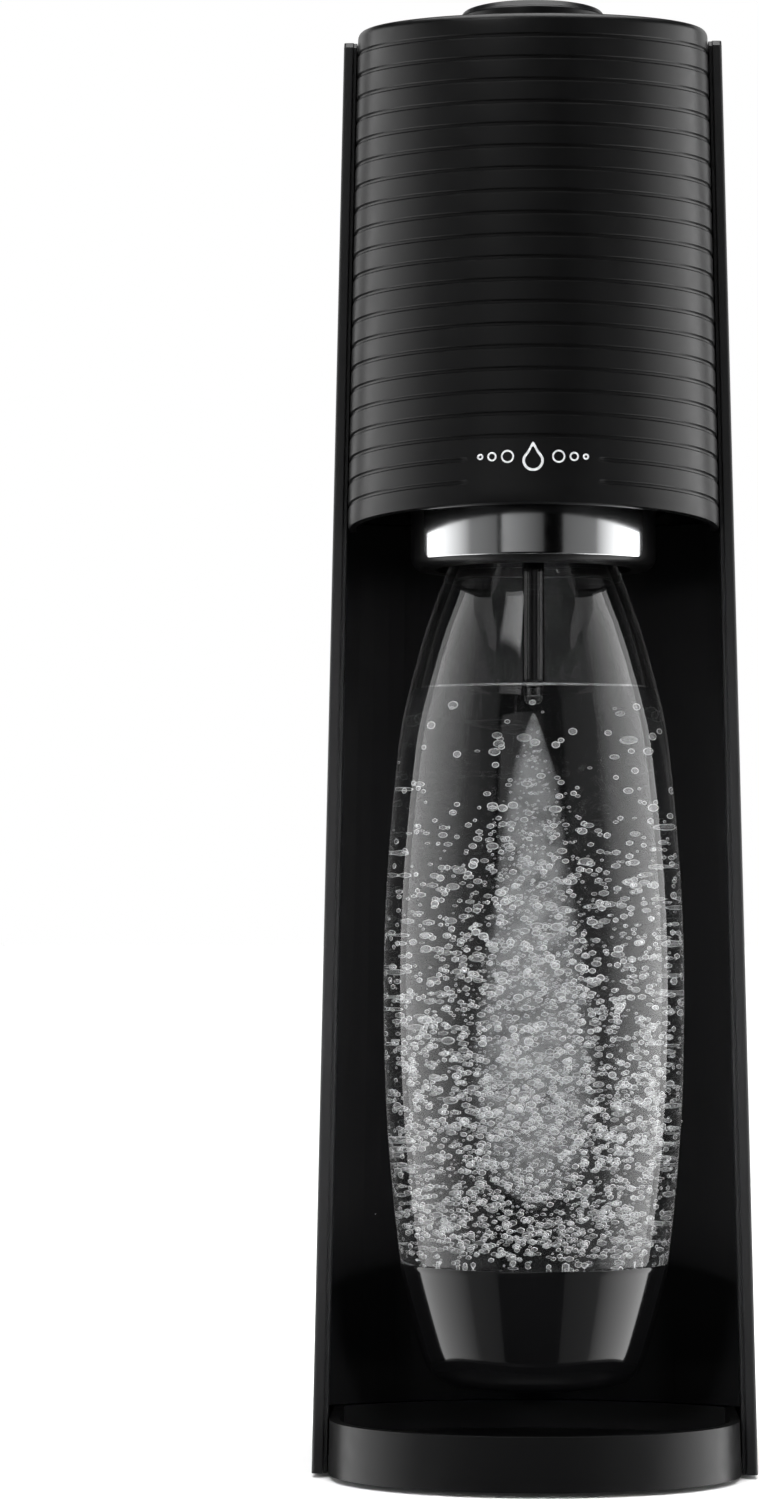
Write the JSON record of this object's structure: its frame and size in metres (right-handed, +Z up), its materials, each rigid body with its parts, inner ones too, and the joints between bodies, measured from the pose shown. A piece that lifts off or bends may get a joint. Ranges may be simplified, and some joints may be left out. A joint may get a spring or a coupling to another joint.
{
  "type": "soda carbonator",
  "caption": "Countertop soda carbonator: ribbed head with press button, tilting bottle holder and nozzle, clear bottle, tapering side panels and a rear bay for the gas cylinder.",
  "frame": {"origin": "on the table, under the middle of the machine's width and depth", "axes": "+Z up, -Y towards the user (the bottle side), +X to the right of somebody facing the machine"},
  "size_m": [0.1326, 0.195, 0.439],
  "materials": {
    "matt_black": "fine matt black moulding",
    "gloss_black": "glossy black",
    "inner_black": "dark inner moulding",
    "grey_plastic": "satin grey",
    "rubber": "matt",
    "chrome": "mirror polished",
    "steel": "plain steel",
    "brass": "machined",
    "aluminium": "brushed",
    "pink": "satin pink",
    "clear": "clear plastic",
    "printed_sleeve": "printed plastic film"
  },
  "bodies": {
    "machine": {"base_plinth": "matt_black", "head_shroud": "matt_black", "top_plate": "matt_black", "spine": "gloss_black", "side_panel_left": "gloss_black", "side_panel_right": "gloss_black", "base_plate": "inner_black", "cylinder_cradle": "inner_black", "head_floor": "inner_black", "head_frame": "inner_black", "valve_block": "grey_plastic", "foot_1": "rubber", "foot_2": "rubber", "foot_3": "rubber", "foot_4": "rubber", "gas_hose": "rubber", "base_screw_1": "steel", "base_screw_2": "steel", "base_screw_3": "steel", "base_screw_4": "steel", "side_screw_1": "steel", "side_screw_2": "steel", "side_screw_3": "steel", "side_screw_4": "steel", "block_screw_1": "steel", "block_screw_2": "steel", "tilt_pin": "steel", "lever_pin": "steel", "cylinder_valve": "brass", "relief_valve": "brass", "outlet_fitting": "brass", "hose_elbow": "brass", "cylinder_body": "aluminium", "cylinder_sleeve": "printed_sleeve"},
    "button": {"carbonating_button": "matt_black", "button_spring": "steel"},
    "lever": {"actuating_lever": "steel"},
    "pusher": {"pusher_pin": "steel"},
    "cylinder_pin": {"valve_pin": "steel"},
    "connector": {"connector_plunger": "brass", "face_seal": "rubber"},
    "handle": {"lock_handle": "pink"},
    "cover": {"rear_cover": "matt_black"},
    "latch": {"latch_button": "grey_plastic"},
    "holder": {"bottle_holder": "gloss_black", "chrome_trim": "chrome", "bottle_seal": "rubber", "nozzle_tube": "matt_black", "nozzle_tip": "clear", "nozzle_nut": "steel"},
    "bottle": {"bottle_body": "clear", "bottle_base_cup": "gloss_black"}
  },
  "joints": [
    {"name": "button_press", "type": "slide", "parent": "machine", "child": "button", "axis": [0, 0, -1], "range_m": [0, 0.006], "stiffness_N_per_m": 900, "springref_m": -0.004, "deforming": ["button_spring"]},
    {"name": "lever_rock", "type": "hinge", "parent": "machine", "child": "lever", "pos_m": [0, 0.076, 0.4085], "axis": [1, 0, 0], "range_deg": [0, 3]},
    {"name": "pusher_slide", "type": "slide", "parent": "machine", "child": "pusher", "axis": [0, 0, -1], "range_m": [0, 0.0015]},
    {"name": "cylinder_pin_slide", "type": "slide", "parent": "machine", "child": "cylinder_pin", "axis": [0, 0, -1], "range_m": [0, 0.0015]},
    {"name": "holder_tilt", "type": "hinge", "parent": "machine", "child": "holder", "pos_m": [0, -0.002, 0.3], "axis": [-1, 0, 0], "range_deg": [0, 15]},
    {"name": "bottle_release", "type": "slide", "parent": "holder", "child": "bottle", "axis": [0, 0, -1], "range_m": [0, 0.014]},
    {"name": "cover_removal", "type": "slide", "parent": "machine", "child": "cover", "axis": [0, 1, 0], "range_m": [0, 0.08]},
    {"name": "latch_press", "type": "slide", "parent": "cover", "child": "latch", "axis": [0, -1, 0], "range_m": [0, 0.003], "stiffness_N_per_m": 600, "springref_m": -0.002},
    {"name": "handle_lift", "type": "hinge", "parent": "machine", "child": "handle", "pos_m": [0, 0.048, 0.384], "axis": [1, 0, 0], "range_deg": [0, 50]},
    {"name": "connector_lift", "type": "slide", "parent": "machine", "child": "connector", "axis": [0, 0, 1], "range_m": [0, 0.003]}
  ],
  "couplings": [
    {"joint": "lever_rock", "follows": "button_press", "rad_per_m": 8.3333},
    {"joint": "pusher_slide", "follows": "button_press", "ratio": 0.23333},
    {"joint": "cylinder_pin_slide", "follows": "button_press", "ratio": 0.23333},
    {"joint": "connector_lift", "follows": "handle_lift", "m_per_rad": 0.0034374}
  ]
}
